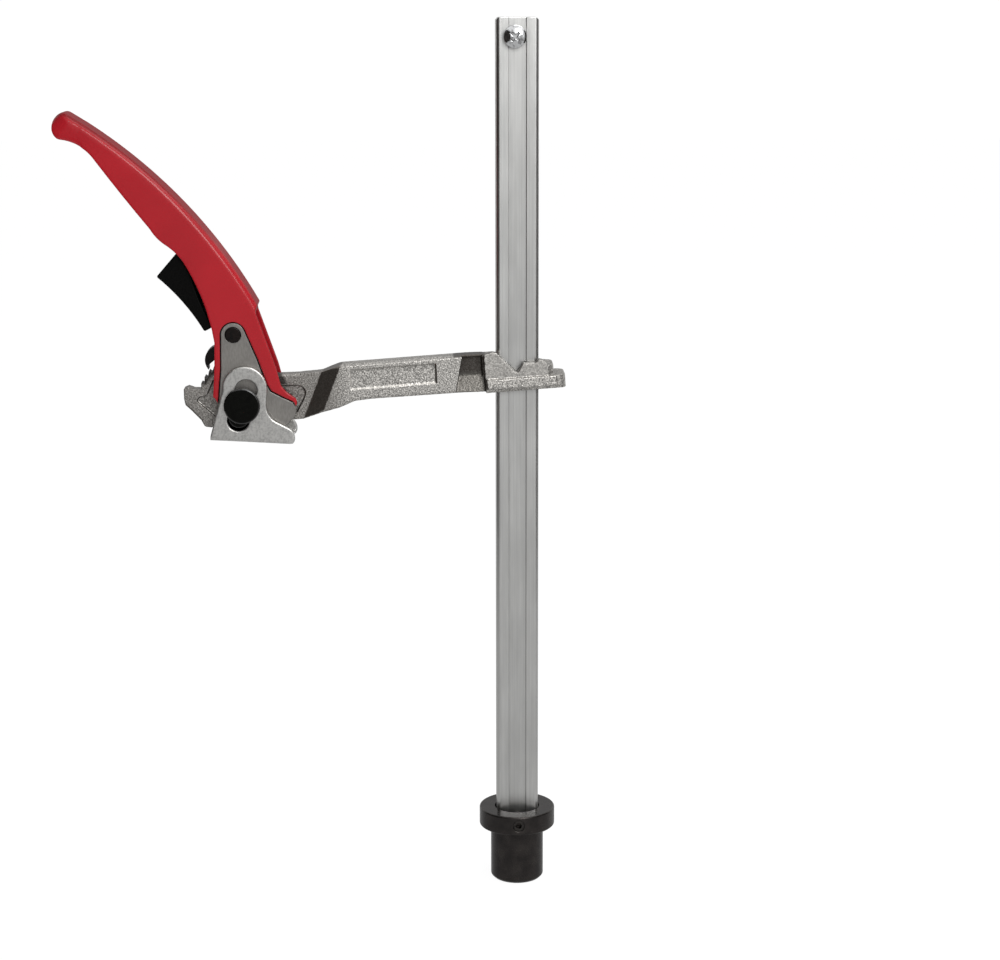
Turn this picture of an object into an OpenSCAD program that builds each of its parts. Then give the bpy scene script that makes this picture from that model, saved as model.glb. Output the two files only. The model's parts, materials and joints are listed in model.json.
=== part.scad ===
// Quick release bar clamp for welding tables with 28 mm holes.
// A grooved steel bar stands in a flanged stud. A forged arm slides on the bar and carries
// a pressed lever whose cam plates push a swivelling shoe down on the work. A sprung pawl
// on the lever drops into the arm's ratchet teeth, and the black paddle lifts it again.
//
// Frame: the origin is on the stud's axis in the plane of the table top, +Z runs up the bar,
// the arm reaches towards -X and the side seen from the front is -Y. All lengths are in mm.

/* [Bar] */
// Width of the bar
bar_w = 22; // [18:0.5:30]
// Thickness of the bar
bar_t = 11; // [8:0.5:14]
// Height of the bar's top over the table
bar_top = 427; // [320:1:700]
// Radius of the bar's four long edges
bar_edge_r = 2.2; // [1.5:0.1:3.5]
// Width of the groove down each wide face
groove_w = 9; // [5:0.5:11]
// Depth of the groove
groove_depth = 0.9; // [0.4:0.1:1.6]
// Bevel on the bar's top end
bar_bevel = 1.4; // [0.5:0.1:3]

/* [Stud and flange] */
// Diameter of the flange that rests on the table
flange_d = 40; // [34:0.5:60]
// Height of the flange
flange_h = 10.2; // [8:0.2:18]
// Rounding of the flange's two rims
flange_rim_r = 1; // [0.4:0.1:2]
// Diameter of the stud that drops into the table's hole
stud_d = 27.9; // [27:0.05:30]
// Length of the stud below the table top
stud_len = 29.5; // [20:0.5:60]
// Bevel at the stud's lower end
stud_bevel = 1.6; // [0.5:0.1:3]
// Depth of the bar's socket, from the flange's top
socket_depth = 24; // [16:0.5:36]
// Diameter of the grub screw in the flange
grub_d = 6; // [4:0.5:7]
// Size across the flats of the grub screw's hexagon
grub_hex = 3; // [2:0.5:3]

/* [Stop screw] */
// Distance of the stop screw below the bar's top
stop_down = 9.6; // [8:0.1:20]
// Diameter of the stop screw's head
stop_head_d = 11.6; // [9:0.1:14]
// Height of the stop screw's head
stop_head_h = 3.6; // [2.5:0.1:5]
// Diameter of the stop screw's shank
stop_shank_d = 6; // [4:0.5:7]
// Thickness of the spring washer under the head
washer_t = 1.6; // [1:0.1:2]

/* [Arm] */
// Distance from the bar's middle to the axle
reach = 141; // [110:1:220]
// Height of the axle over the table
axle_z = 232; // [190:1:330]
// Droop of the unclamped arm on the bar, in degrees
droop = 4; // [0:0.5:5]
// Thickness of the arm's panel
panel_t = 14; // [11:0.5:17]
// Thickness of the arm's head
head_t = 8.4; // [7:0.2:10]
// Thickness of the hub round the axle
hub_t = 11; // [10.4:0.2:13]
// Radius of the hub round the axle
hub_r = 11; // [9:0.1:11.4]
// Height of the arm's top edge over the axle
arm_top = 15.6; // [14:0.1:18]
// Depth of the arm's bottom edge under the axle
arm_bottom = 3.3; // [1:0.1:5]
// Depth of the sunk panel in each face of the arm
sunk_depth = 0.9; // [0.4:0.1:2]
// Wall of the collar in front of and behind the bar
collar_wall = 5; // [3.5:0.1:7]
// Clearance of the collar on the bar
collar_gap = 0.35; // [0.2:0.05:0.8]
// Height of the rib along the collar's face
rib_h = 5.2; // [3:0.1:6]
// Projection of the rib from the collar's face
rib_out = 1.2; // [0.5:0.1:2]

/* [Ratchet] */
// Radius of the ratchet's tooth tips
tooth_tip_r = 23.8; // [23:0.1:25]
// Depth of the ratchet's teeth
tooth_depth = 2; // [1.2:0.1:2.2]
// Angle from tooth to tooth, in degrees
tooth_pitch = 9; // [8:0.5:10]
// Number of ratchet teeth
tooth_count = 8; // [7:1:8]
// Clearance between the raised pawl and the tooth tips
pawl_clear = 0.2; // [0.1:0.05:0.4]

/* [Lever] */
// Length of the lever's grip, from the end of its web to the tip
grip_len = 136; // [112:0.5:180]
// Rise of the grip's curved back over its chord
grip_bow = 9; // [4:0.1:14]
// Width across the lever's two cheeks
lever_w = 23; // [22.4:0.2:24]
// Thickness of the lever's sheet
lever_sheet = 2.3; // [1.5:0.1:2.6]
// Outer radius of the bend along the lever's back
bend_r = 3.4; // [2.7:0.1:5]
// Outer radius of the two corners of the lever's tip
tip_r = 7; // [3:0.5:9]
// Diameter of the pin that the release rocks on
rocker_d = 8; // [6:0.1:8.5]

/* [Cam] */
// Distance from the axle to the cam's pressing edge at rest
cam_h0 = 15.9; // [15:0.1:16]
// Rise of the cam for each radian that the lever turns
cam_rise = 9; // [7:0.1:9]
// Greatest radius of the cam's lobe
lobe_r = 27.2; // [26:0.1:28]
// Diameter of the axle
axle_d = 8; // [6:0.1:9]
// Running clearance of the axle and the rocker pin, in radius
pin_gap = 0.05; // [0.02:0.01:0.09]

/* [Shoe] */
// Depth of the shoe's sole under the axle at rest
sole_down = 19.3; // [18.8:0.1:22]
// Thickness of the shoe's sheet
shoe_sheet = 2.5; // [2:0.1:2.5]
// Lean of the hanging shoe, in degrees
shoe_lean = 3.6; // [0:0.1:5]
// Reach of the sole in front of the axle, towards the bar
sole_front = 26; // [22:0.5:30]
// Reach of the sole behind the axle
sole_back = 15.6; // [14.5:0.1:18]
// Width of the slot in each cheek
slot_w = 11.2; // [10.4:0.1:12]
// Distance between the centres of the slot's two round ends
slot_len = 16.2; // [15.8:0.1:18]
// Slant of the slot against the sole's normal, in degrees
slot_slant = 11.8; // [0:0.1:14]
// Diameter of the black caps
cap_d = 18.4; // [16:0.1:21]
// Thickness of the black caps
cap_t = 3; // [2:0.1:5]

/* [Release] */
// Height of the release's top over the pin that it rocks on
release_h = 42; // [38:0.5:46]
// Width of the black paddle
paddle_w = 17; // [12:0.5:17.4]
// Thickness of the pawl
pawl_t = 8; // [6:0.1:9]
// Diameter of the pins that hold the paddle to the pawl
paddle_pin_d = 4; // [3:0.1:5]
// Wire diameter of the pawl spring
wire_d = 0.9; // [0.6:0.1:1.2]
// Outer diameter of the pawl spring
spring_d = 7; // [5:0.1:8]

/* [Hidden] */
$fn = 96;
eps = 0.01;

// Layers across the lever, as distances from its middle plane
hub_y = hub_t / 2;
play = 0.2;
plate_in = hub_y + play;
cheek_out = lever_w / 2;
cheek_in = cheek_out - lever_sheet;
pad_out = cheek_out - play;
flange_in = cheek_out;
flange_out = flange_in + 0.6;
shoe_in = flange_out + play;
shoe_out = shoe_in + shoe_sheet;
cap_in = shoe_out + play;
cap_out = cap_in + cap_t;

// ---------- helpers ----------

// Points of the arc from a to b whose middle stands s to the left of the chord, without b
function bow(a, b, s, n = 10) =
  let (d = b - a, c = norm(d), side = [-d.y, d.x] / c, r = (c * c / 4 + s * s) / (2 * s),
    m = (a + b) / 2 + side * (s - r), sweep = -4 * atan2(s, c / 2),
    from = atan2(a.y - m.y, a.x - m.x))
  [for (i = [0:n - 1]) m + norm(a - m) * turn(from + sweep * i / n)];
// Unit vector at an angle
function turn(angle) = [cos(angle), sin(angle)];
// Points of an arc round m, both ends included
function arc(m, r, from, to, n = 12) = [for (i = [0:n]) m + r * turn(from + (to - from) * i / n)];

// An outline in the XZ plane, as thick as the range of y
module slab(y0, y1) {
  translate([0, y1, 0]) rotate([90, 0, 0]) linear_extrude(y1 - y0) children();
}
module plate(t) {
  slab(-t / 2, t / 2) children();
}
// The same slab on the front and on the rear
module both_slabs(y0, y1) {
  slab(y0, y1) children();
  slab(-y1, -y0) children();
}
// A round bar along Y
module across(r, y0, y1) {
  translate([0, y1, 0]) rotate([90, 0, 0]) cylinder(r = r, h = y1 - y0);
}
module at_axle() {
  translate([-reach, 0, axle_z]) children();
}
module arm_frame() {
  at_axle() rotate([0, -droop, 0]) children();
}
module shoe_frame() {
  at_axle() rotate([0, shoe_lean, 0]) children();
}

// ---------- bar, stud and screws ----------

bar_diagonal = 2 * norm([bar_w / 2 - bar_edge_r, bar_t / 2 - bar_edge_r]) + 2 * bar_edge_r;
socket_d = bar_diagonal + 0.2;
socket_floor = flange_h - socket_depth;
stop_z = bar_top - stop_down;
stop_x = -1.3;
groove_floor = bar_t / 2 - groove_depth;
grub_z = 0.53 * flange_h;

module bar_section() {
  difference() {
    union() {
      square([bar_w - 2 * bar_edge_r, bar_t], center = true);
      square([bar_w, bar_t - 2 * bar_edge_r], center = true);
      for (x = [-1, 1], y = [-1, 1])
        translate([x * (bar_w / 2 - bar_edge_r), y * (bar_t / 2 - bar_edge_r)])
          circle(bar_edge_r);
    }
    for (y = [-1, 1])
      translate([0, y * bar_t / 2]) square([groove_w, 2 * groove_depth], center = true);
  }
}

module bar() {
  color("gainsboro") difference() {
    translate([0, 0, socket_floor + 0.1])
      linear_extrude(bar_top - socket_floor - 0.1) bar_section();
    for (side = [-1, 1])
      translate([side * bar_w / 2, 0, bar_top]) rotate([0, 45, 0])
        cube([bar_bevel * sqrt(2), bar_t + 1, bar_bevel * sqrt(2)], center = true);
    // thread of the stop screw
    translate([stop_x, 0, stop_z]) across(stop_shank_d / 2, -bar_t, bar_t);
  }
}

module base_stud() {
  rim = flange_d / 2;
  shank = stud_d / 2;
  color("#26262a") difference() {
    rotate_extrude() polygon(concat(
      [[0, -stud_len], [shank - stud_bevel, -stud_len], [shank, stud_bevel - stud_len]],
      [[shank, 0]],
      arc([rim - flange_rim_r, flange_rim_r], flange_rim_r, -90, 0),
      arc([rim - flange_rim_r, flange_h - flange_rim_r], flange_rim_r, 0, 90),
      [[0, flange_h]]));
    translate([0, 0, socket_floor]) cylinder(d = socket_d, h = socket_depth + 1);
    // hole of the grub screw, from the front
    translate([0, 0, grub_z]) across(grub_d / 2, -rim - 1, 0);
  }
}

module base_set_screw() {
  tip = groove_floor + 0.1;
  mouth = flange_d / 2 - 0.6;
  socket = 0.9 * grub_d / 2;
  color("silver") translate([0, 0, grub_z]) difference() {
    union() {
      across(grub_d / 2 - 0.05, -mouth, -socket_d / 2);
      across(grub_d / 3, -mouth, -tip);
    }
    translate([0, socket - mouth, 0]) rotate([90, 0, 0])
      cylinder(d = grub_hex / cos(30), h = socket + 1, $fn = 6);
  }
}

// The screw's head is a low dome with a cross recess
module stop_screw() {
  seat = bar_t / 2 + washer_t;
  head_r = stop_head_d / 2;
  dome_h = 0.35 * stop_head_h;
  recess = 0.5 * stop_head_h;
  color("lightgray") translate([stop_x, 0, stop_z]) difference() {
    rotate([90, 0, 0]) rotate_extrude() polygon(concat(
      [[0, -bar_t / 2 + 1], [stop_shank_d / 2 - 0.05, -bar_t / 2 + 1],
        [stop_shank_d / 2 - 0.05, seat], [head_r, seat]],
      bow([head_r, seat + stop_head_h - dome_h], [0, seat + stop_head_h], -0.4, 8),
      [[0, seat + stop_head_h]]));
    for (a = [45, 135])
      translate([0, -seat - stop_head_h, 0]) rotate([0, a, 0])
        cube([0.5 * stop_head_d, 2 * recess, 0.12 * stop_head_d], center = true);
  }
}

// A split spring washer under the screw's head
module stop_washer() {
  color("dimgray") translate([stop_x, 0, stop_z]) difference() {
    across(0.46 * stop_head_d, -bar_t / 2 - washer_t, -bar_t / 2);
    across(stop_shank_d / 2 + 0.1, -bar_t, 0);
    translate([0, -bar_t / 2, 0]) rotate([0, 50, 0])
      translate([0, -2 * washer_t, -0.4]) cube([stop_head_d, 4 * washer_t, 0.8]);
  }
}

// ---------- arm, in its own frame with the axle at the origin ----------

ratchet_last = 150.8;
neck_x = 46;
neck_top = 12.3;
step_foot = [29.7, -11.4];
step_slant = 25;
step_w = 8.4;
panel_low = -arm_bottom;
collar_mid = reach / cos(droop);
collar_left = collar_mid - 16.6;
collar_right = collar_mid + 24.7;
collar_low = -arm_bottom - 1.2;
slot_y = bar_t / 2 + collar_gap;
collar_y = slot_y + collar_wall;
slot_half = bar_w / 2 / cos(droop) + (arm_top - collar_low) / 2 * tan(droop) + collar_gap;

// Saw teeth, each with a radial face towards the collar and a ramp behind it
function ratchet_points() = [
  for (i = [1 - tooth_count:0], r = [tooth_tip_r - tooth_depth, tooth_tip_r])
    r * turn(ratchet_last + i * tooth_pitch)];

module head_outline() {
  polygon(concat(
    [[neck_x, -7.2], [neck_x, neck_top + 0.3], [30, neck_top], [18, neck_top + 0.5],
      [11, 16.5], [4.5, 21]],
    ratchet_points(),
    [[-20.9, 8], [-24.6, 8.4], [-27.6, 9.7], [-29.9, 8.9], [-30.2, 4], [-29.8, 0.4],
      [-27, -2.6], [-22.4, -8.2]],
    bow([-20.9, -11.3], [-14.6, -11.7], -0.6, 6),
    [[-14.6, -11.7], [-hub_r, -6], [0, -hub_r], step_foot, [39, -8.3]]));
}

panel_under = [[38.9, -8.6], [49.1, panel_low - 3.3], [57, panel_low - 0.5],
  [66, panel_low], [collar_left - 14, collar_low + 0.8]];

module panel_outline() {
  polygon(concat(
    [step_foot], panel_under, [[collar_left, collar_low + 0.3], [collar_left, arm_top - 0.4],
      [collar_left - 10, arm_top], [52, arm_top], [42, neck_top + 0.3], [30, neck_top]]));
}

// The thin head swells to the thick panel over a slanted step
module step_prism() {
  thin = head_t / 2 - eps;
  thick = panel_t / 2;
  translate([step_foot.x, 0, step_foot.y]) rotate([0, step_slant, 0])
    linear_extrude(240, center = true)
      polygon([[0, -thin], [step_w, -thick], [200, -thick], [200, thick], [step_w, thick],
        [0, thin]]);
}

// A bevel along both edges that run from a to b at a distance y from the middle plane
module bevel_run(a, b, y, size) {
  d = b - a;
  for (side = [-1, 1])
    translate([a.x, side * y, a.y]) rotate([0, -atan2(d.y, d.x), 0]) rotate([45, 0, 0])
      translate([-0.5, -size / sqrt(2), -size / sqrt(2)])
        cube([norm(d) + 1, size * sqrt(2), size * sqrt(2)]);
}

// Sunk webs between the hub and the head's rims
module head_sunk() {
  difference() {
    union() {
      polygon(concat([[8, 8.2], [26.2, 6.6]], bow([28, 6.4], [32, 1.4], 1.6, 6),
        [[32, 1.4], [31, -1], [27, -7.4], [8, -8.6]]));
      polygon(concat([[-4, 17], [-14.5, 12.4], [-18.3, 5.2]],
        bow([-20.5, 4.4], [-23.6, 1], -1.3, 5), [[-15.3, -6.4], [-4, -9]]));
    }
    circle(hub_r + 0.6);
  }
}

// The scoop beside the collar: a deep pocket under a thin flange, over a ramp
module scoop() {
  deep = 3;
  flange_y = 4.7;
  roof = arm_top - 1.4;
  ramp_top = 4.6;
  intersection() {
    plate(panel_t + 2) polygon([[collar_left - 10.6, arm_top + 1], [collar_left, arm_top + 1],
      [collar_left, collar_low - 1], [collar_left - 16.2, collar_low - 1]]);
    for (side = [-1, 1])
      translate([collar_left - 20, 0, 0]) rotate([90, 0, 90]) linear_extrude(24)
        polygon([[side * deep, roof], [side * deep, ramp_top],
          [side * (panel_t / 2 - 0.4), collar_low - 1], [side * panel_t, collar_low - 1],
          [side * panel_t, arm_top + 1], [side * flange_y, arm_top + 1],
          [side * flange_y, roof]]);
  }
}

// The arm's top slopes down to both faces, like a low roof
module crown_cut() {
  flat = 4;
  fall = 0.9;
  for (side = [-1, 1])
    translate([neck_x, 0, 0]) rotate([90, 0, 90]) linear_extrude(collar_left - neck_x)
      polygon([[side * flat, arm_top], [side * panel_t / 2, arm_top - fall],
        [side * panel_t, arm_top - fall], [side * panel_t, arm_top + 2],
        [side * flat, arm_top + 2]]);
}

// Half a rounded block in plan, from x0 to x1, with its far corners rounded
module plan_lug(x0, x1, half, r) {
  translate([x0, -half]) square([x1 - r - x0, 2 * half]);
  translate([x0, r - half]) square([x1 - x0, 2 * (half - r)]);
  for (side = [-1, 1])
    translate([x1 - r, side * (half - r)]) circle(r);
}

// One wall of the collar, notched in front of the bar
module collar_wall_shape(top) {
  mid = collar_mid;
  polygon(concat([[collar_left, collar_low], [mid + 16, collar_low]],
    bow([mid + 16.2, 5.6], [mid + 11.4, 11.2], -1.7, 8),
    [[mid + 11.4, 11.2], [mid + 9.8, 9.6], [mid + 3.4, 9.8], [mid + 0.2, 5.2], [mid - 1, 5.8]],
    bow([mid - 10 - (arm_top + 1 - top) * 0.2, top], [mid - 13.4, top + 0.2], -0.3, 4),
    [[mid - 13.4, top + 0.2], [collar_left, top - 0.4]]));
}

module collar() {
  mid = collar_mid;
  inside = mid - slot_half + 1;
  rib_mid = 0.3;
  foot_top = 2.4;
  lug_top = 7.8;
  // block between the arm and the bar
  plate(2 * collar_y) polygon([[collar_left, collar_low], [inside, collar_low],
    [inside, 9], [collar_left, 9]]);
  plate(panel_t) polygon([[collar_left - 1, 4], [inside, 4], [inside, arm_top - 1],
    [collar_left - 1, arm_top - 1]]);
  slab(-collar_y, -slot_y) collar_wall_shape(arm_top + 0.6);
  slab(slot_y, collar_y) difference() {
    collar_wall_shape(arm_top - 2);
    translate([mid + 2, lug_top]) square(30);
  }
  // lug beyond the bar, with a wider foot
  translate([0, 0, collar_low]) linear_extrude(foot_top - collar_low)
    plan_lug(mid + slot_half - 1, collar_right, collar_y, 5);
  translate([0, 0, foot_top - 0.1]) linear_extrude(lug_top - foot_top + 0.1)
    plan_lug(mid + slot_half - 1, mid + 19, collar_y - 0.8, 5);
  // rib along both faces
  both_slabs(collar_y - 1, collar_y + rib_out) polygon([
    [collar_left + 0.9, rib_mid - rib_h / 2], [mid + 19.8, rib_mid - 0.4 - rib_h / 2],
    [mid + 19.8, rib_mid - 0.5 + rib_h / 2], [collar_left + 0.6, rib_mid - 0.3 + rib_h / 2]]);
}

module sliding_arm() {
  color("#9b9b99") arm_frame() difference() {
    union() {
      difference() {
        plate(head_t) head_outline();
        both_slabs(head_t / 2 - 1, head_t) head_sunk();
        bevel_run([18, neck_top + 0.5], [30, neck_top], head_t / 2, 0.8);
        bevel_run([step_foot.x, step_foot.y], [39, -8.3], head_t / 2, 0.8);
        bevel_run([-29.8, 0.4], [-27, -2.6], head_t / 2, 0.8);
        bevel_run([-27, -2.6], [-22.4, -8.2], head_t / 2, 0.8);
      }
      across(hub_r, -hub_y, hub_y);
      difference() {
        intersection() {
          plate(panel_t + 1) panel_outline();
          step_prism();
        }
        both_slabs(panel_t / 2 - sunk_depth, panel_t)
          polygon([[56, arm_top - 3], [100, arm_top - 3], [99.6, arm_top - 13.1],
            [55.6, arm_top - 13.1]]);
        scoop();
        crown_cut();
        bevel_run([42, neck_top + 0.3], [52, arm_top], panel_t / 2, 1.2);
        for (i = [1:len(panel_under) - 1])
          bevel_run(panel_under[i - 1], panel_under[i], panel_t / 2, 0.93);
      }
      collar();
    }
    // the bar's way through
    translate([collar_mid, 0, 0]) linear_extrude(80, center = true)
      square([2 * slot_half, 2 * slot_y], center = true);
    bevel_run([collar_left, collar_low], [collar_right, collar_low], collar_y, 1.6);
    across(axle_d / 2, -hub_t, hub_t);
  }
}

module axle() {
  color("#8a8d90") at_axle() across(axle_d / 2, -cap_in - 1.2, cap_in + 1.2);
}

// ---------- lever and cam plates, with the axle at the origin ----------

rocker = [-4.2, 35.8];
web_end = [8.6, 50.7];
chord = turn(134);
window_r = 6.6;
window_gap = 0.45;
weld_lap = 1.6;

// A point of the grip, by its distance along the chord and its distance in from it
function grip(along, in) = web_end + along * chord + in * [-chord.y, chord.x];
grip_end = grip(grip_len, 0);
back_r = (grip_len * grip_len / 4 + grip_bow * grip_bow) / (2 * grip_bow);
back_mid = (web_end + grip_end) / 2 + [-chord.y, chord.x] * (back_r - grip_bow);

// The window in each cheek, closed in by g all round
function window_points(g) = concat(
  [[-12.4 + g, 2], [-11 + g, 18]],
  arc(rocker, window_r - g, 186, 24, 14),
  [[8.4 - 1.5 * g, 22.9], [12.7 - 1.5 * g, 10.2], [14.8 - g, 6.8 - g], [20.4 - g, 3.8 - g],
    [26 - g, 1.1 - g]]);

function lever_points() = concat(
  bow([27.2, -1.4], [25.6, 3.9], -1.3, 5),
  bow([25.6, 3.9], [19.7, 9.5], 0.5, 5),
  [[19.7, 9.5], [17.4, 18.3], [7.8, 46.1], [7.4, 48]],
  bow(web_end, grip_end, -grip_bow, 32),
  bow(grip_end, grip(grip_len - 7.8, 11.7), -4.9, 14),
  bow(grip(grip_len - 7.8, 11.7), grip(grip_len - 27.4, 6), 2.4, 10),
  bow(grip(grip_len - 27.4, 6), grip(65.2, 11), -0.25, 4),
  bow(grip(65.2, 11), grip(54.5, 11.3), -0.6, 6),
  bow(grip(54.5, 11.3), grip(42, 10.9), 0.6, 6),
  bow(grip(42, 10.9), grip(16.5, 20.1), 0.8, 6),
  [grip(16.5, 20.1), grip(7.9, 25), [-13.6, 31.7], [-14, 17.6]],
  bow([-14.9, 3.8], [-13, -1.4], 0.9, 5));

module cheek_outline() {
  polygon(concat(lever_points(), window_points(0)));
}

// The pressed channel's round back, as a ring about the middle of the grip's curve
module bent_back() {
  deep = 70;
  y0 = cheek_out;
  translate([back_mid.x, 0, back_mid.y]) rotate([90, 0, 0]) rotate_extrude($fn = 180)
    polygon(concat([[back_r - deep, -y0]],
      arc([back_r - bend_r, bend_r - y0], bend_r, -90, 0),
      arc([back_r - bend_r, y0 - bend_r], bend_r, 0, 90), [[back_r - deep, y0]]));
}

// The room inside the channel. Below the web's end it cuts the web away
module channel_room() {
  inner = lever_sheet;
  plate(2 * cheek_in) polygon(concat(
    [[60, -40], [60, 47], [web_end.x - inner, 47]],
    bow(grip(0.6, inner), grip(grip_len - 1.4, inner), -grip_bow, 32),
    bow(grip(grip_len - 1.4, inner), grip(grip_len - 7.4, 11.7 - inner), inner - 4.9, 10),
    [grip(grip_len - 9, 11), grip(grip_len - 20, 30), grip(0, 60), [-60, -40]]));
}

// A run along the grip whose far end has round corners, seen on the lever's back
module grip_run(end, half, r) {
  translate([web_end.x, 0, web_end.y]) rotate([0, -134, 0])
    linear_extrude(160, center = true) plan_lug(-150, end, half, r);
}

module lever_handle() {
  tip = grip_len + 1.5;
  color("#a8262d") at_axle() difference() {
    intersection() {
      plate(lever_w) cheek_outline();
      bent_back();
      grip_run(tip, cheek_out + eps, tip_r);
    }
    intersection() {
      channel_room();
      grip_run(tip - lever_sheet, cheek_in + eps, tip_r - lever_sheet);
    }
  }
}

// Support distance and edge point of the cam for a normal at an angle. Its edge is an
// involute, so that the shoe moves evenly with the lever
cam_down = -90 - shoe_lean;
function cam_h(a) = cam_h0 + cam_rise * (a - cam_down) * PI / 180;
function cam_point(a) = cam_h(a) * turn(a) + cam_rise * turn(a + 90);
cam_end = cam_point(-40);

function cam_points() = concat(
  bow([lobe_r - 0.1, -2.1], cam_end, 1, 6),
  [for (a = [-40:-4:-120]) cam_point(a)],
  bow([-5, -12.2], [-12, -4.5], 1.4, 5));

module cam_plate() {
  difference() {
    union() {
      slab(plate_in, cheek_in) polygon(concat(
        [[-13.2, 4], [-12.6, 18]],
        arc(rocker, window_r + weld_lap, 186, 24, 14),
        [[10.6, 22.9], [14.6, 11.4], [18.5, 8.6], [24.4, 3.6]],
        cam_points()));
      slab(cheek_in - eps, pad_out) polygon(concat(window_points(window_gap), cam_points()));
    }
    across(axle_d / 2 + pin_gap, 0, 40);
    translate([rocker.x, 0, rocker.y]) across(rocker_d / 2, 0, 40);
  }
}
module cam_plate_front() {
  color("#8f908f") at_axle() mirror([0, 1, 0]) cam_plate();
}
module cam_plate_rear() {
  color("#8f908f") at_axle() cam_plate();
}

// ---------- release: pin, pawl, paddle and spring ----------

module rocker_pin() {
  head = 0.5;
  color("#1b1a1c") at_axle() translate([rocker.x, 0, rocker.y]) {
    across(rocker_d / 2, -pad_out - head, pad_out + head);
  }
}

module pawl_spacers() {
  for (side = [-1, 1])
    color("silver") at_axle() translate([rocker.x, 0, rocker.y]) difference() {
      across(rocker_d / 2 + 1.8, side > 0 ? pawl_t / 2 + 0.1 : -plate_in,
        side > 0 ? plate_in : -pawl_t / 2 - 0.1);
      across(rocker_d / 2 + pin_gap, -20, 20);
    }
}

pawl_angle = ratchet_last - 2 * tooth_pitch + droop - 0.6;
pawl_tip = (tooth_tip_r + pawl_clear) * turn(pawl_angle);
// A point of the release, which grows from the pin that it rocks on
function on_release(p) = rocker + (p - rocker) * release_h / 42;
paddle_pins_at = [on_release([-15.2, 52]), on_release([-20.8, 62])];
pawl_arm = [for (p = [[-13.8, 42], [-19.4, 50], [-25.2, 61.5], [-22.6, 66.5], [-18.4, 65.5]])
  on_release(p)];

module pawl_outline() {
  nose = on_release([-14.2, 28.9]);
  polygon(concat(
    bow(pawl_tip, nose, 3.4, 14),
    [nose, on_release([-12.6, 34])],
    pawl_arm,
    [on_release([-11.6, 52]), on_release([-2, 43.2])],
    arc(rocker, rocker_d / 2 + 2.4, 60, -70, 8),
    [[-10, 25.4], pawl_tip + 2.6 * turn(pawl_angle - 44)]));
}

module pawl() {
  color("#1e1d1f") at_axle() difference() {
    plate(pawl_t) pawl_outline();
    translate([rocker.x, 0, rocker.y]) across(rocker_d / 2 + pin_gap, -20, 20);
    for (p = paddle_pins_at)
      translate([p.x, 0, p.y]) across(paddle_pin_d / 2, -20, 20);
  }
}

module paddle_outline() {
  heel = on_release([-18.8, 37.2]);
  polygon(concat(
    [on_release([-31.4, 78])],
    bow(on_release([-42.3, 65.4]), heel, 1.6, 10),
    [heel, on_release([-14.9, 39.2])],
    bow(on_release([-15, 41]), on_release([-25.6, 70]), 1.2, 8)));
}

module release_paddle() {
  color("#17171a") at_axle() difference() {
    plate(paddle_w) paddle_outline();
    // the slot that takes the pawl's arm
    plate(pawl_t) pawl_arm_room();
    for (p = paddle_pins_at)
      translate([p.x, 0, p.y]) across(paddle_pin_d / 2, -20, 20);
  }
}
module pawl_arm_room() {
  polygon(concat([on_release([-10, 30])], pawl_arm, [on_release([-2, 60]), on_release([0, 30])]));
}

module paddle_pins() {
  for (p = paddle_pins_at)
    color("#2a2a2c") at_axle() translate([p.x, 0, p.y])
      across(paddle_pin_d / 2, -paddle_w / 2 + 0.3, paddle_w / 2 - 0.3);
}

// The spring's line runs from the paddle to the lever's web
spring_foot = on_release([-25.9, 72.2]);
spring_angle = 40;
spring_len = 12;
seat_at = 10;
seat_h = 3;

module spring_seat() {
  color("silver") at_axle() translate([spring_foot.x, 0, spring_foot.y])
    rotate([0, 90 - spring_angle, 0]) translate([0, 0, seat_at])
      cylinder(d = spring_d - 2 * wire_d - 0.4, h = seat_h);
}

// One unbroken tube wound as a helix, as a swept ring of sides
spring_turns = 5;
spring_rings = 8;
spring_sides = 6;
function coil(t, h) = let (r = (spring_d - wire_d) / 2)
  [r * cos(360 * t), r * sin(360 * t), h * t / spring_turns];
function coil_ring(t, h, slope) = [for (k = [0:spring_sides - 1])
  let (c = coil(t, h), a = 360 * k / spring_sides, w = wire_d / 2,
    out = [cos(360 * t), sin(360 * t), 0],
    up = [sin(360 * t) * sin(slope), -cos(360 * t) * sin(slope), cos(slope)])
  c + w * (cos(a) * out + sin(a) * up)];
module coil_spring(h) {
  n = spring_turns * spring_rings;
  s = spring_sides;
  slope = atan2(h / spring_turns, PI * (spring_d - wire_d));
  rings = [for (i = [0:n]) for (p = coil_ring(i / spring_rings, h, slope)) p];
  sides = [for (i = [0:n - 1], k = [0:s - 1]) let (a = i * s + k, b = i * s + (k + 1) % s)
    each [[a, b, b + s], [a, b + s, a + s]]];
  lids = [for (k = [1:s - 2]) each [[0, k + 1, k], [n * s, n * s + k, n * s + k + 1]]];
  polyhedron(points = rings, faces = [for (f = concat(sides, lids)) [f[2], f[1], f[0]]]);
}
module pawl_spring() {
  color("lightgray") at_axle() translate([spring_foot.x, 0, spring_foot.y])
    rotate([0, 90 - spring_angle, 0]) translate([0, 0, wire_d / 2]) coil_spring(spring_len);
}

// ---------- shoe and guide caps, in the shoe's own frame ----------

slot_up = 8.07;
slot_top = slot_up * turn(90 - slot_slant);
slot_low = (slot_up - slot_len) * turn(90 - slot_slant);
arch_r = 11.5;

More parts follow.
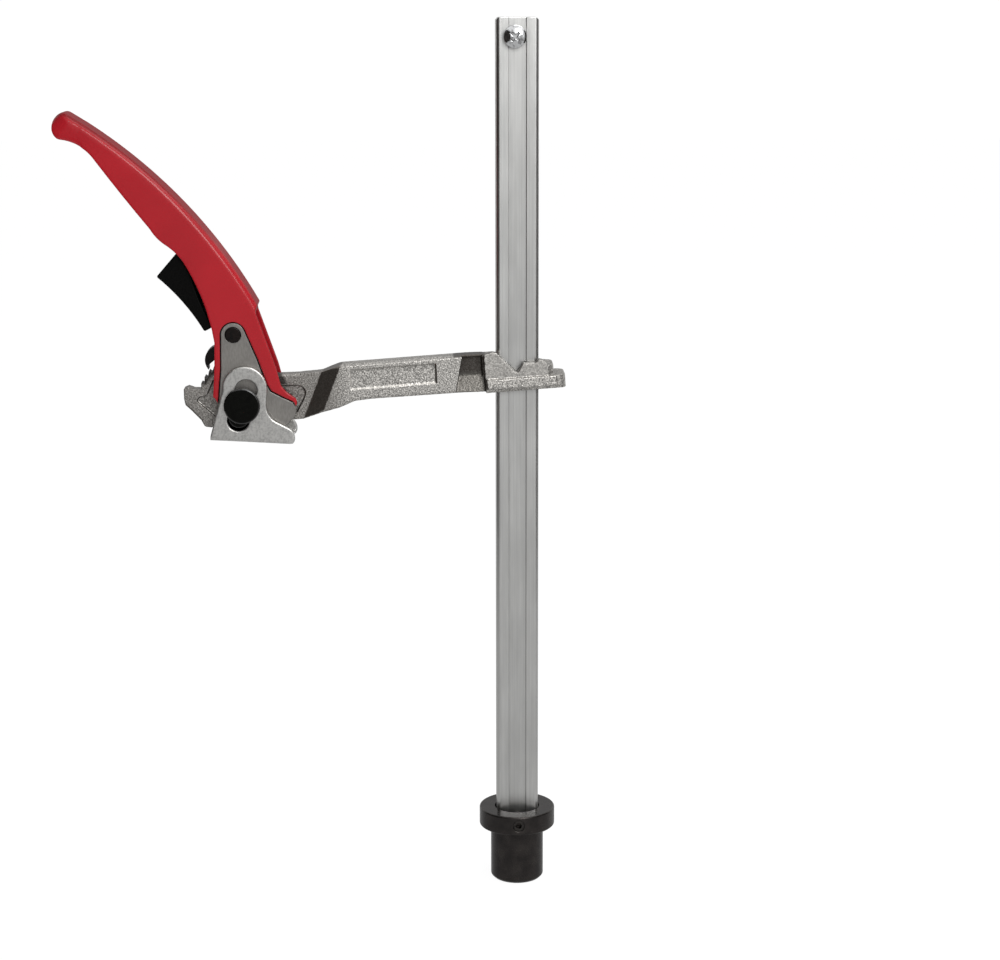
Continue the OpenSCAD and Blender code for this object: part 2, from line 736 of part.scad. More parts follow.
module cheek_shape() {
  floor_z = -sole_down;
  polygon(concat(
    [[-sole_back, floor_z], [-sole_back + 0.2, floor_z + 2.6]],
    bow(slot_top + [-arch_r - 0.5, -1], slot_top + [arch_r - 0.9, 1.5], arch_r + 0.3, 20),
    [slot_top + [arch_r - 0.9, 1.5], [12, 4]],
    bow([12.1, 2.2], [sole_front - 5.5, -8.8], -2.6, 10),
    bow([sole_front - 1.9, -10.6], [sole_front + 1.6, -15.6], 0.9, 6),
    bow([sole_front + 1.6, -15.6], [sole_front - 0.6, floor_z], 0.8, 5)));
}

// A straight run with two round ends
module round_run(a, b, half) {
  d = b - a;
  translate(a) circle(half);
  translate(b) circle(half);
  translate(a) rotate(atan2(d.y, d.x)) translate([0, -half]) square([norm(d), 2 * half]);
}

module shoe() {
  color("#a7a8a6") shoe_frame() {
    both_slabs(shoe_in, shoe_out) difference() {
      cheek_shape();
      round_run(slot_low, slot_top, slot_w / 2);
    }
    slab(-shoe_in - eps, shoe_in + eps) polygon([[-sole_back, -sole_down],
      [sole_front - 0.6, -sole_down], [sole_front + 0.6, shoe_sheet - sole_down],
      [-sole_back + 0.2, shoe_sheet - sole_down]]);
  }
}

// A round cap, with the block that runs in the slot and a thin flange inside the cheek
module guide_cap() {
  half = slot_w / 2 - 0.2;
  lobe = (slot_up - slot_len + 1.7) * turn(90 - slot_slant);
  skirt = (slot_up - slot_len - 0.6) * turn(90 - slot_slant);
  edge = 0.9;
  difference() {
    union() {
      slab(flange_in, flange_out + eps) round_run(skirt, [0, 0], half + 0.4);
      slab(flange_out, cap_in + eps) round_run(lobe, [0, 0], half);
      translate([0, cap_out, 0]) rotate([90, 0, 0]) rotate_extrude() polygon(concat(
        [[0, 0]], arc([cap_d / 2 - edge, edge], edge, -90, 0, 6), [[cap_d / 2, cap_t],
        [0, cap_t]]));
    }
    across(axle_d / 2 + pin_gap, 0, cap_in + 1.4);
  }
}
module guide_cap_front() {
  color("#0e0e10") shoe_frame() mirror([0, 1, 0]) guide_cap();
}
module guide_cap_rear() {
  color("#0e0e10") shoe_frame() guide_cap();
}

bar();
base_stud();
base_set_screw();
stop_screw();
stop_washer();
sliding_arm();
axle();
lever_handle();
cam_plate_front();
cam_plate_rear();
rocker_pin();
pawl_spacers();
pawl();
release_paddle();
paddle_pins();
pawl_spring();
spring_seat();
shoe();
guide_cap_front();
guide_cap_rear();
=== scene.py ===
"""Finished look of the quick release bar clamp, built around its CAD frame.

The clamp stands in a welding table: a drawn steel bar in a blackened stud, a blasted forged arm,
a red powder coated lever with blanked steel cam plates, and a bent steel shoe under the lever.
Every CAD node is replaced by a piece with the edges, bends and grain that its making leaves.
"""

import json
import math

import bmesh
import bpy
import numpy as np
from bpy.props import FloatProperty, FloatVectorProperty, PointerProperty
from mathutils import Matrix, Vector, noise

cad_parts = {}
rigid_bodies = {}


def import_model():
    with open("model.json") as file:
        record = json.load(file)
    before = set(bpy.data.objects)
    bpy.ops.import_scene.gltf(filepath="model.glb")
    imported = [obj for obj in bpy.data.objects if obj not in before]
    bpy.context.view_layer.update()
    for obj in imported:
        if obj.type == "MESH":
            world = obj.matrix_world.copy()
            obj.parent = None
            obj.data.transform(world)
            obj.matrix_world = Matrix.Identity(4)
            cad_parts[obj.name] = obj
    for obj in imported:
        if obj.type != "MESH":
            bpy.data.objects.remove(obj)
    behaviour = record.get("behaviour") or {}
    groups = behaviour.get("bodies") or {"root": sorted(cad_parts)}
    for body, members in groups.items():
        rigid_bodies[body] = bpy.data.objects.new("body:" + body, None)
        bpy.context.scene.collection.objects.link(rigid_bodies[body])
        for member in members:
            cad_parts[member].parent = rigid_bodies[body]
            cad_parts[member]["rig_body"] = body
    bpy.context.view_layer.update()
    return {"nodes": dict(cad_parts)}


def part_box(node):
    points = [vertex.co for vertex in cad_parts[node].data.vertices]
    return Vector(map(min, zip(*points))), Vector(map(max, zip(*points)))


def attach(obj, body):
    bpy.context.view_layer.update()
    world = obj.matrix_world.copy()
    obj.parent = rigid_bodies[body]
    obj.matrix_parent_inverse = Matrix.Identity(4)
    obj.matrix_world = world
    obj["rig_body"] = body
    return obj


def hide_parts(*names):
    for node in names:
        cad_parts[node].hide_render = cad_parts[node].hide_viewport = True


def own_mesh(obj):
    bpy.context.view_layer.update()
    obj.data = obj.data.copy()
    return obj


bl_info = {
    "name": "Quick release bar clamp",
    "version": (1, 0, 0),
    "blender": (4, 5, 0),
    "location": "3D View > Sidebar > Bar clamp",
    "description": "Builds the finished look of a welding table bar clamp around its CAD frame",
    "category": "Object",
}

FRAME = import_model()
NODES = FRAME["nodes"]
MM = 0.001


def srgb(code, alpha=True):
    """The linear colour of an sRGB hex value such as "A0222B"."""
    parts = [int(code[i : i + 2], 16) / 255 for i in (0, 2, 4)]
    linear = [c / 12.92 if c <= 0.04045 else ((c + 0.055) / 1.055) ** 2.4 for c in parts]
    return (*linear, 1.0) if alpha else tuple(linear)


def tint(colour, factor):
    """A colour made lighter or darker."""
    return (*[min(1.0, c * factor) for c in colour], 1.0)


def per_mm(size):
    """The scale at which a noise has features of this size in millimetres."""
    return 1 / (size * MM)


def middle_of(node):
    """The middle of a CAD node's box."""
    low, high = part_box(node)
    return (Vector(low) + Vector(high)) / 2


# ---------- places that the finish follows, in the clamp's own frame ----------

FAR = 1.0  # further out than any point of the clamp
AREA_EDGE = 0.4 * MM  # half the width over which an area fades
AXLE = middle_of("axle")
GROOVE_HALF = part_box("bar")[1][0] - 2 * MM
ARM_DROOP = math.radians(4)
HEAD_END = -92 * MM
TEETH_RING = (20.8 * MM, 24.4 * MM)
TEETH_ABOVE_AXLE = 9 * MM
PANEL_X = (-88 * MM, -37 * MM)
PANEL_HEIGHT = (240 * MM, 255.3 * MM)  # followed along the drooping arm to the bar's middle
COLLAR_LEFT = -16.6 * MM
COLLAR_HALF = 11.4 * MM
SCOOP_WIDTH = 16.4 * MM
SCOOP_HALF = 6.3 * MM
SCOOP_FLOOR_Z = 246 * MM


# ---------- settings ----------


def length(name, default_mm, description):
    """A size in metres, given in millimetres."""
    return FloatProperty(
        name=name, default=default_mm * MM, min=0, unit="LENGTH", subtype="DISTANCE",
        precision=5, description=description,
    )


def paint(name, code, description):
    """A colour, given as an sRGB hex value."""
    return FloatVectorProperty(
        name=name, default=srgb(code, False), min=0, max=1, subtype="COLOR", description=description
    )


class ClampSizes(bpy.types.PropertyGroup):
    """Roundings of the pieces, mesh sizes of the soft ones, and the spring"""

    turned_edge: length("Turned edge", 0.3, "Chamfer that breaks the drawn bar's edges")
    stud_edge: length("Stud edge", 0.5, "Rounding of the turned flange and stud")
    screw_edge: length("Screw edge", 0.2, "Rounding of small screws, washers, rings and the spring seat")
    head_edge: length("Head edge", 0.22, "Rounding of the stop screw's head")
    axle_edge: length("Axle edge", 0.4, "Rounding of the axle's ends")
    rocker_edge: length("Rocker pin edge", 0.45, "Rounding of the rocker pin's ends")
    rivet_edge: length("Rivet edge", 0.3, "Rounding of the two pins in the paddle")
    blanked_edge: length("Blanked edge", 0.35, "Rounding of the tumbled cam plates and the pawl")
    moulded_edge: length("Moulded edge", 0.9, "Rounding of the paddle's moulded edges")
    cap_edge: length("Cap edge", 0.55, "Rounding of the glossy caps' rims")
    shoe_voxel: length("Shoe detail", 0.34, "Mesh size of the bent shoe")
    shoe_bend: length("Shoe bend", 2.4, "Outer radius where the shoe's cheeks are bent up")
    pressed_voxel: length("Lever detail", 0.42, "Mesh size of the pressed lever")
    forging_voxel: length("Forging detail", 0.3, "Mesh size of the forged arm")
    forging_grain: length("Forging grain", 0.05, "Height of the blasted grain on the forged arm")
    wire: length("Spring wire", 0.9, "Wire of the pawl spring")
    spring_slant: FloatProperty(
        name="Spring slant", default=math.radians(40), unit="ROTATION", subtype="ANGLE",
        description="Angle of the spring's line over the level",
    )


class ClampColours(bpy.types.PropertyGroup):
    """Colours of the finishes"""

    powder: paint("Powder coat", "9E1620", "Red of the lever")
    forging: paint("Forging", "D0CDC8", "Plated and blasted forging")
    plate: paint("Cam plate", "93908C", "Tumbled steel of the cam plates")
    shoe: paint("Shoe", "CCCBC8", "Plated steel of the shoe")
    bar: paint("Bar", "DADAD8", "Drawn and plated steel of the bar")


class Studio(bpy.types.PropertyGroup):
    """Light and floor"""

    fill: FloatProperty(name="Fill", default=0.62, min=0, description="Strength of the even light")
    room: FloatProperty(
        name="Room", default=0.85, min=0, description="Brightness of the room in front, in gloss"
    )
    gap: FloatProperty(
        name="Gap", default=0.3, min=0, description="Brightness of the gap behind the set, in gloss"
    )
    floor_gloss: FloatProperty(
        name="Floor gloss", default=0.44, min=0, description="Brightness of the floor, in gloss"
    )
    key: FloatProperty(
        name="Key", default=9, min=0, unit="POWER", description="Power of the front softbox"
    )
    floor_drop: length("Floor", 29.6, "Depth of the floor under the table plane")


# ---------- materials ----------


def add(tree, kind, sockets=None, stops=(), **settings):
    """Adds a node with its settings, its links and, on a colour ramp, its stops.

    A socket gets a plain value, another node's output, or a node, which stands for its first
    output in use. A stop is (position, colour).
    """
    made = tree.nodes.new(kind)
    for name, value in settings.items():
        setattr(made, name, value)
    for name, value in (sockets or {}).items():
        if isinstance(value, bpy.types.Node):
            value = next(output for output in value.outputs if output.enabled)
        if isinstance(value, bpy.types.NodeSocket):
            tree.links.new(value, made.inputs[name])
        else:
            made.inputs[name].default_value = value
    if stops:
        steps = made.color_ramp.elements
        while len(steps) < len(stops):
            steps.new(0.5)
        for step, (position, colour) in zip(steps, stops):
            step.position = position
            step.color = colour
    return made


def emptied(data):
    """The node tree of a material or a world, with nothing in it."""
    data.use_nodes = True
    data.node_tree.nodes.clear()
    return data.node_tree


def blank_material(name):
    """A material, its empty node tree, and the place of each point in the clamp's own frame."""
    made = bpy.data.materials.new(name)
    tree = emptied(made)
    return made, tree, add(tree, "ShaderNodeTexCoord").outputs["Object"]


def surface(tree, sockets):
    """Ends a material in its shader, with these sockets set."""
    shader = add(tree, "ShaderNodeBsdfPrincipled", sockets)
    add(tree, "ShaderNodeOutputMaterial", {"Surface": shader})


def joined(tree, operation, first, *others):
    """One mask from several: MULTIPLY is 1 where all are, and MAXIMUM where any is."""
    for other in others:
        first = add(tree, "ShaderNodeMath", {0: first, 1: other}, operation=operation)
    return first


def facing(tree, low, high, axis="X", sign=-1):
    """0 where a surface looks less than low along an axis, up to 1 where it looks more than high."""
    normal = add(tree, "ShaderNodeTexCoord").outputs["Normal"]
    part = add(tree, "ShaderNodeSeparateXYZ", {"Vector": normal}).outputs[axis]
    turned = add(tree, "ShaderNodeMath", {0: part, 1: sign}, operation="MULTIPLY")
    return add(
        tree, "ShaderNodeMapRange", {"Value": turned, "From Min": low, "From Max": high},
        interpolation_type="SMOOTHSTEP",
    )


def inside(tree, value, low, high, soft=AREA_EDGE):
    """1 where a value lies between two others, with soft ends."""
    risen = add(
        tree, "ShaderNodeMapRange", {"Value": value, "From Min": low - soft, "From Max": low + soft}
    )
    not_past = add(
        tree, "ShaderNodeMapRange",
        {"Value": value, "From Min": high - soft, "From Max": high + soft, "To Min": 1.0, "To Max": 0.0},
    )
    return joined(tree, "MULTIPLY", risen, not_past)


def layered(tree, colour, layers):
    """Lays tones over a colour, one after another. A layer is (mask, strength, tone)."""
    for mask, strength, tone in layers:
        share = add(tree, "ShaderNodeMath", {0: mask, 1: strength}, operation="MULTIPLY")
        colour = add(
            tree, "ShaderNodeMix", {"Factor": share, "A": colour, "B": tone}, data_type="RGBA"
        )
    return colour


def recess_shaded(tree, colour, reach_mm, kept):
    """A colour with painted shade in recesses and narrow gaps, where little of the sky is open. The
    deepest ones keep this share.
    """
    open_sky = add(
        tree, "ShaderNodeAmbientOcclusion", {"Distance": reach_mm * MM}, samples=8
    ).outputs["AO"]
    shade_share = add(tree, "ShaderNodeMapRange", {"Value": open_sky, "To Min": 1 - kept, "To Max": 0.0})
    # the tone of the painted shade
    return layered(tree, colour, [(shade_share, 1.0, srgb("272321"))])


def drawn_bar_steel(colour):
    """Cold drawn steel, bright zinc plated: smooth, with faint die lines along its length."""
    made, tree, place = blank_material("drawn_steel_zinc_plated")
    # die lines 0.9 mm apart over a slow cloud of the plating, both drawn out along the bar
    drawn = add(tree, "ShaderNodeMapping", {"Vector": place, "Scale": (1, 1, 0.012)})
    lines = add(tree, "ShaderNodeTexNoise", {"Vector": drawn, "Scale": per_mm(0.9), "Detail": 3})
    flowed = add(tree, "ShaderNodeMapping", {"Vector": place, "Scale": (1, 1, 0.25)})
    cloud = add(tree, "ShaderNodeTexNoise", {"Vector": flowed, "Scale": per_mm(9), "Detail": 3})
    mixed = add(tree, "ShaderNodeMath", {0: lines, 1: cloud, 2: 0.25}, operation="MULTIPLY_ADD")
    shade = add(
        tree, "ShaderNodeValToRGB", {"Fac": mixed},
        stops=[(0.36, tint(colour, 0.86)), (0.66, tint(colour, 1.06))],
    )
    # painted shade on the groove's wall that faces the left, away from the light
    across = add(tree, "ShaderNodeSeparateXYZ", {"Vector": place}).outputs["X"]
    groove = inside(tree, across, -GROOVE_HALF, GROOVE_HALF)
    shaded_left_wall = joined(tree, "MULTIPLY", facing(tree, 0.25, 0.7), groove)
    shade = layered(tree, shade, [(shaded_left_wall, 0.75, srgb("4A4845"))])
    # painted shade darkens the bar in its groove and where other parts stand close to it
    surface(tree, {
        "Base Color": recess_shaded(tree, shade, 3.5, 0.62),
        "Metallic": 1,
        "Roughness": add(tree, "ShaderNodeMapRange", {"Value": cloud, "To Min": 0.24, "To Max": 0.36}),
        "Normal": add(tree, "ShaderNodeBump", {"Height": lines, "Distance": 0.008 * MM}),
    })
    return made


def black_oxide():
    """Turned steel, blackened in a hot salt bath: near black with a soft sheen and tool rings."""
    made, tree, place = blank_material("turned_steel_black_oxide")
    # 0.25 mm feed of the turning tool, drawn at 0.7 mm so that it shows
    height = add(tree, "ShaderNodeSeparateXYZ", {"Vector": place}).outputs["Z"]
    feeds = add(tree, "ShaderNodeMath", {0: height, 1: per_mm(0.7)}, operation="MULTIPLY")
    rings = add(tree, "ShaderNodeMath", {0: feeds, 1: 1.0}, operation="PINGPONG")
    cloud = add(tree, "ShaderNodeTexNoise", {"Vector": place, "Scale": per_mm(6), "Detail": 4})
    surface(tree, {
        "Base Color": add(
            tree, "ShaderNodeValToRGB", {"Fac": cloud},
            stops=[(0.35, srgb("272423")), (0.68, srgb("35312F"))],
        ),
        "Metallic": 0.68,
        "Roughness": add(tree, "ShaderNodeMapRange", {"Value": cloud, "To Min": 0.2, "To Max": 0.32}),
        "Normal": add(
            tree, "ShaderNodeBump", {"Height": rings, "Distance": 0.01 * MM, "Strength": 0.6}
        ),
    })
    return made


def bright_zinc(name="screw_bright_zinc", shade="E4E5E6", reach_mm=1.6):
    """Machine screw, bright zinc plated: mirror-like, with faint wrench marks, and painted shade that
    darkens its drive and other recesses.
    """
    made, tree, place = blank_material(name)
    marks = add(tree, "ShaderNodeTexNoise", {"Vector": place, "Scale": per_mm(1.6)})
    zinc = add(
        tree, "ShaderNodeValToRGB", {"Fac": marks},
        stops=[(0.36, tint(srgb(shade, False), 0.55)), (0.5, srgb(shade))],
    )
    surface(tree, {
        "Base Color": recess_shaded(tree, zinc, reach_mm, 0.0),
        "Metallic": 1,
        "Roughness": add(tree, "ShaderNodeMapRange", {"Value": marks, "To Min": 0.06, "To Max": 0.16}),
        "Normal": add(tree, "ShaderNodeBump", {"Height": marks, "Distance": 0.03 * MM}),
    })
    return made


def forging_areas(tree, place):
    """Masks of the areas in which the forged arm looks different."""
    x, y, z = add(tree, "ShaderNodeSeparateXYZ", {"Vector": place}).outputs
    head = inside(tree, x, -FAR, HEAD_END, 5 * MM)
    # the teeth lie in a ring round the axle, over the hub
    from_axle = add(tree, "ShaderNodeVectorMath", {0: place, 1: AXLE}, operation="SUBTRACT")
    flat = add(tree, "ShaderNodeVectorMath", {0: from_axle, 1: (1, 0, 1)}, operation="MULTIPLY")
    reach = add(tree, "ShaderNodeVectorMath", {0: flat}, operation="LENGTH")
    ring = inside(tree, reach, *TEETH_RING, 0.6 * MM)
    over_hub = inside(tree, z, AXLE.z + TEETH_ABOVE_AXLE, FAR)
    # the arm droops, so the sunk panel's edges follow its slope
    height = add(
        tree, "ShaderNodeMath", {0: x, 1: -math.tan(ARM_DROOP), 2: z}, operation="MULTIPLY_ADD"
    )
    panel = joined(
        tree, "MULTIPLY", inside(tree, x, *PANEL_X), inside(tree, height, *PANEL_HEIGHT)
    )
    outside = add(tree, "ShaderNodeMath", {0: 1.0, 1: panel}, operation="SUBTRACT")
    upward = facing(tree, 0.25, 0.7, "Z", 1)
    rightward = facing(tree, 0.25, 0.7, "X", 1)
    across_scoop = inside(tree, y, -SCOOP_HALF, SCOOP_HALF)
    across_collar = inside(tree, y, -COLLAR_HALF, COLLAR_HALF)
    collar = inside(tree, x, COLLAR_LEFT, FAR)
    return {
        "head": head,
        # the ring of teeth takes painted shade
        "teeth": joined(tree, "MULTIPLY", ring, over_hub, head),
        # faces that look up outside the panel take painted shade
        "top": joined(tree, "MULTIPLY", upward, outside),
        # the panel's walls that look up or right take painted light
        "painted_light_ledge": joined(tree, "MULTIPLY", joined(tree, "MAXIMUM", upward, rightward), panel),
        # faces that look left take painted shade
        "flank": facing(tree, 0.16, 0.3),
        # the scoop takes painted shade, lighter below the floor's height
        "scoop": joined(
            tree, "MULTIPLY", inside(tree, x, COLLAR_LEFT - SCOOP_WIDTH, COLLAR_LEFT), across_scoop
        ),
        "scoop_floor": inside(tree, z, -FAR, SCOOP_FLOOR_Z, 1.2 * MM),
        "collar_wall": joined(
            tree, "MULTIPLY", collar, facing(tree, 0.9, 0.97, "Y"), across_collar
        ),
    }


def blasted_forging(colour):
    """Drop forged steel, blasted and zinc plated: a sparkling grain, smooth on its drafted flanks."""
    made, tree, place = blank_material("forged_steel_blasted_zinc")
    # blasting grit of 0.5 mm, drawn at 0.7 mm so that it shows
    grit = add(
        tree, "ShaderNodeTexNoise", {"Vector": place, "Scale": per_mm(0.7), "Roughness": 0.6}
    )
    cloud = add(tree, "ShaderNodeTexNoise", {"Vector": place, "Scale": per_mm(6), "Detail": 3})
    mixed = add(tree, "ShaderNodeMath", {0: cloud, 1: 0.08, 2: grit}, operation="MULTIPLY_ADD")
    shares = ((0.35, 0.22), (0.46, 0.52), (0.56, 0.8), (0.65, 1.3))
    blasted = add(
        tree, "ShaderNodeValToRGB", {"Fac": mixed},
        stops=[(position, tint(colour, share)) for position, share in shares],
    )
    area = forging_areas(tree, place)
    # painted shade in the scoop: darkest at its top, lighter on its floor
    scoop_painted_shade = layered(tree, srgb("3A342F"), [(area["scoop_floor"], 1.0, srgb("5E5B56"))])
    tone = layered(tree, blasted, [
        # the head is darker, and painted shade darkens the faces that look up, which the light from
        # above leaves too bright
        (area["head"], 0.45, srgb("625C57")),
        (area["top"], 0.35, srgb("4C4945")),
        # painted light brightens the panel's lower and left walls, which look up and to the right, and
        # painted shade darkens the ring of teeth
        (area["painted_light_ledge"], 0.9, tint(colour, 1.5)),
        (area["teeth"], 0.85, srgb("2A2522")),
        # smooth: the step's flanks, the scoop beside the collar, and the collar's worn walls. Painted
        # shade darkens the flanks, which look to the left, and the scoop
        (area["flank"], 0.86, srgb("5E5852")),
        (area["scoop"], 0.9, scoop_painted_shade),
        (area["collar_wall"], 0.45, tint(colour, 0.9)),
    ])
    smooth = joined(tree, "MAXIMUM", area["flank"], area["collar_wall"], area["scoop"])
    grainy = add(tree, "ShaderNodeMapRange", {"Value": smooth, "To Min": 1.0, "To Max": 0.4})
    relief = joined(tree, "MULTIPLY", grit, grainy)
    # painted shade darkens the forging's recesses
    surface(tree, {
        "Base Color": recess_shaded(tree, tone, 3, 0.1),
        "Metallic": 0.9,
        "Roughness": add(tree, "ShaderNodeMapRange", {"Value": smooth, "To Min": 0.4, "To Max": 0.32}),
        "Normal": add(tree, "ShaderNodeBump", {"Height": relief, "Distance": 0.17 * MM}),
    })
    return made


def red_powder_coat(colour):
    """Polyester powder coat on pressed steel: even satin red with a fine orange peel."""
    made, tree, place = blank_material("pressed_steel_red_powder_coat")
    peel = add(tree, "ShaderNodeTexNoise", {"Vector": place, "Scale": per_mm(1.3), "Detail": 1})
    cloud = add(tree, "ShaderNodeTexNoise", {"Vector": place, "Scale": per_mm(25)})
    red = add(
        tree, "ShaderNodeValToRGB", {"Fac": cloud},
        stops=[(0.3, tint(colour, 0.93)), (0.7, tint(colour, 1.06))],
    )
    # painted shade darkens the web and the faces that look up, which the light from above leaves too
    # bright, and the web is less glossy than the cheeks and bends, which keep their satin
    web = joined(tree, "MAXIMUM", facing(tree, 0.7, 0.85, "X", 1), facing(tree, 0.4, 0.7, "Z", 1))
    red = layered(tree, red, [(web, 0.6, tint(colour, 0.25))])
    # painted shade darkens the lever round the cam plates' window and in other narrow gaps
    surface(tree, {
        "Base Color": recess_shaded(tree, red, 1.2, 0.0),
        "Roughness": add(tree, "ShaderNodeMapRange", {"Value": web, "To Min": 0.2, "To Max": 0.4}),
        "Specular IOR Level": add(
            tree, "ShaderNodeMapRange", {"Value": web, "To Min": 0.36, "To Max": 0.1}
        ),
        "Normal": add(tree, "ShaderNodeBump", {"Height": peel, "Distance": 0.02 * MM}),
    })
    return made


def tumbled_plate(colour):
    """Blanked steel plate, tumbled and oiled: an even satin grey with a fine rolling grain."""
    made, tree, place = blank_material("blanked_plate_tumbled")
    rolled = add(tree, "ShaderNodeMapping", {"Vector": place, "Scale": (1, 1, 0.3)})
    roll = add(tree, "ShaderNodeTexNoise", {"Vector": rolled, "Scale": per_mm(0.7), "Detail": 3})
    cloud = add(tree, "ShaderNodeTexNoise", {"Vector": place, "Scale": per_mm(8), "Detail": 3})
    mixed = add(tree, "ShaderNodeMath", {0: cloud, 1: 0.6, 2: roll}, operation="MULTIPLY_ADD")
    grey = add(
        tree, "ShaderNodeValToRGB", {"Fac": mixed},
        stops=[(0.55, tint(colour, 0.86)), (0.95, tint(colour, 1.1))],
    )
    # painted shade darkens the plates in the lever's window and in other narrow gaps
    surface(tree, {
        "Base Color": recess_shaded(tree, grey, 1.2, 0.0),
        "Metallic": 0.85,
        "Roughness": add(tree, "ShaderNodeMapRange", {"Value": cloud, "To Min": 0.34, "To Max": 0.46}),
        "Normal": add(tree, "ShaderNodeBump", {"Height": roll, "Distance": 0.025 * MM}),
    })
    return made


def plated_sheet(colour):
    """Bent steel sheet, tumbled and zinc plated: light satin grey, brighter on its round edges."""
    made, tree, place = blank_material("bent_sheet_zinc_plated")
    rolled = add(tree, "ShaderNodeMapping", {"Vector": place, "Scale": (1, 1, 0.2)})
    roll = add(tree, "ShaderNodeTexNoise", {"Vector": rolled, "Scale": per_mm(0.8), "Detail": 3})
    speck = add(tree, "ShaderNodeTexNoise", {"Vector": place, "Scale": per_mm(0.9)})
    mixed = add(tree, "ShaderNodeMath", {0: roll, 1: 0.6, 2: speck}, operation="MULTIPLY_ADD")
    surface(tree, {
        "Base Color": add(
            tree, "ShaderNodeValToRGB", {"Fac": mixed},
            stops=[(0.6, tint(colour, 0.84)), (0.9, tint(colour, 1.12))],
        ),
        "Metallic": 0.95,
        "Roughness": add(tree, "ShaderNodeMapRange", {"Value": speck, "To Min": 0.26, "To Max": 0.4}),
        "Normal": add(tree, "ShaderNodeBump", {"Height": mixed, "Distance": 0.02 * MM}),
    })
    return made


def black_pin():
    """Hardened pin, blackened: very dark with a soft sheen."""
    made, tree, place = blank_material("hardened_pin_black")
    cloud = add(tree, "ShaderNodeTexNoise", {"Vector": place, "Scale": per_mm(1.6), "Detail": 3})
    surface(tree, {
        "Base Color": add(
            tree, "ShaderNodeValToRGB", {"Fac": cloud},
            stops=[(0.35, srgb("080606")), (0.65, srgb("140D0B"))],
        ),
        "Roughness": add(tree, "ShaderNodeMapRange", {"Value": cloud, "To Min": 0.2, "To Max": 0.34}),
        "Specular IOR Level": 0.18,
        "Normal": add(tree, "ShaderNodeBump", {"Height": cloud, "Distance": 0.02 * MM}),
    })
    return made


def moulded_nylon():
    """Moulded glass-filled nylon: black, with a fine spark-eroded mould texture."""
    made, tree, place = blank_material("moulded_nylon_black")
    spark = add(tree, "ShaderNodeTexNoise", {"Vector": place, "Scale": per_mm(0.7), "Detail": 3})
    surface(tree, {
        "Base Color": add(
            tree, "ShaderNodeValToRGB", {"Fac": spark},
            stops=[(0.35, srgb("040404")), (0.7, srgb("0B0B0A"))],
        ),
        "Roughness": add(tree, "ShaderNodeMapRange", {"Value": spark, "To Min": 0.36, "To Max": 0.52}),
        "Specular IOR Level": 0.06,
        "Normal": add(tree, "ShaderNodeBump", {"Height": spark, "Distance": 0.05 * MM}),
    })
    return made


def gloss_cap():
    """Polished moulded cap: glossy black with faint handling marks."""
    made, tree, place = blank_material("moulded_cap_gloss_black")
    marks = add(tree, "ShaderNodeTexNoise", {"Vector": place, "Scale": per_mm(3), "Detail": 4})
    # the flat faces mirror the unlit camera side, and only the round rim shines
    flat = joined(
        tree, "MAXIMUM", facing(tree, 0.93, 0.995, "Y"), facing(tree, 0.93, 0.995, "Y", 1)
    )
    surface(tree, {
        "Base Color": add(
            tree, "ShaderNodeValToRGB", {"Fac": marks},
            stops=[(0.3, srgb("040403")), (0.7, srgb("0A0A08"))],
        ),
        "Roughness": add(tree, "ShaderNodeMapRange", {"Value": marks, "To Min": 0.14, "To Max": 0.26}),
        "Specular IOR Level": add(
            tree, "ShaderNodeMapRange", {"Value": flat, "To Min": 0.9, "To Max": 0.08}
        ),
        "Normal": add(tree, "ShaderNodeBump", {"Height": marks, "Distance": 0.01 * MM}),
    })
    return made


def spring_wire():
    """Patented spring wire, zinc plated: bright with drawing lines."""
    made, tree, place = blank_material("spring_wire_zinc")
    marks = add(tree, "ShaderNodeTexNoise", {"Vector": place, "Scale": per_mm(0.5)})
    surface(tree, {
        "Base Color": add(
            tree, "ShaderNodeValToRGB", {"Fac": marks},
            stops=[(0.3, srgb("9A9A9A")), (0.7, srgb("D2D2D0"))],
        ),
        "Metallic": 1,
        "Roughness": 0.28,
    })
    return made


# ---------- shapes ----------

SHARP = 28  # an edge over this many degrees is rounded
WELD = 0.002 * MM  # points closer than this are one


def in_scene(name, data):
    """A new object, put into the scene."""
    made = bpy.data.objects.new(name, data)
    bpy.context.scene.collection.objects.link(made)
    return made


def welded(node):
    """The CAD node's mesh with its doubled points joined and its flat faces merged."""
    shape = bmesh.new()
    shape.from_mesh(NODES[node].data)
    bmesh.ops.remove_doubles(shape, verts=shape.verts, dist=WELD)
    bmesh.ops.dissolve_limit(
        shape, angle_limit=math.radians(0.4), verts=shape.verts, edges=shape.edges
    )
    return shape


def placed(node, name, mesh, material):
    """A finished piece that stands for a CAD node, on its body and in its finish."""
    made = in_scene(name, mesh)
    made.data.materials.append(material)
    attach(made, NODES[node]["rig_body"])
    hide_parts(node)
    return made


def is_sharp(edge, degrees):
    """Whether two faces meet at an edge at more than this angle."""
    return len(edge.link_faces) == 2 and edge.calc_face_angle(0) > math.radians(degrees)


def round_edges(shape, edges, width, segments):
    """Rounds edges to this width."""
    bmesh.ops.bevel(
        shape, geom=edges, offset=width, offset_type="OFFSET", segments=segments, profile=0.5,
        affect="EDGES", clamp_overlap=False, loop_slide=True,
    )


def finish_mesh(shape, name, flat=40):
    """A mesh from a shape, smooth on its curves and creased over an angle in degrees."""
    for face in shape.faces:
        face.smooth = True
    for edge in shape.edges:
        edge.smooth = not is_sharp(edge, flat)
    mesh = bpy.data.meshes.new(name)
    shape.to_mesh(mesh)
    shape.free()
    return mesh


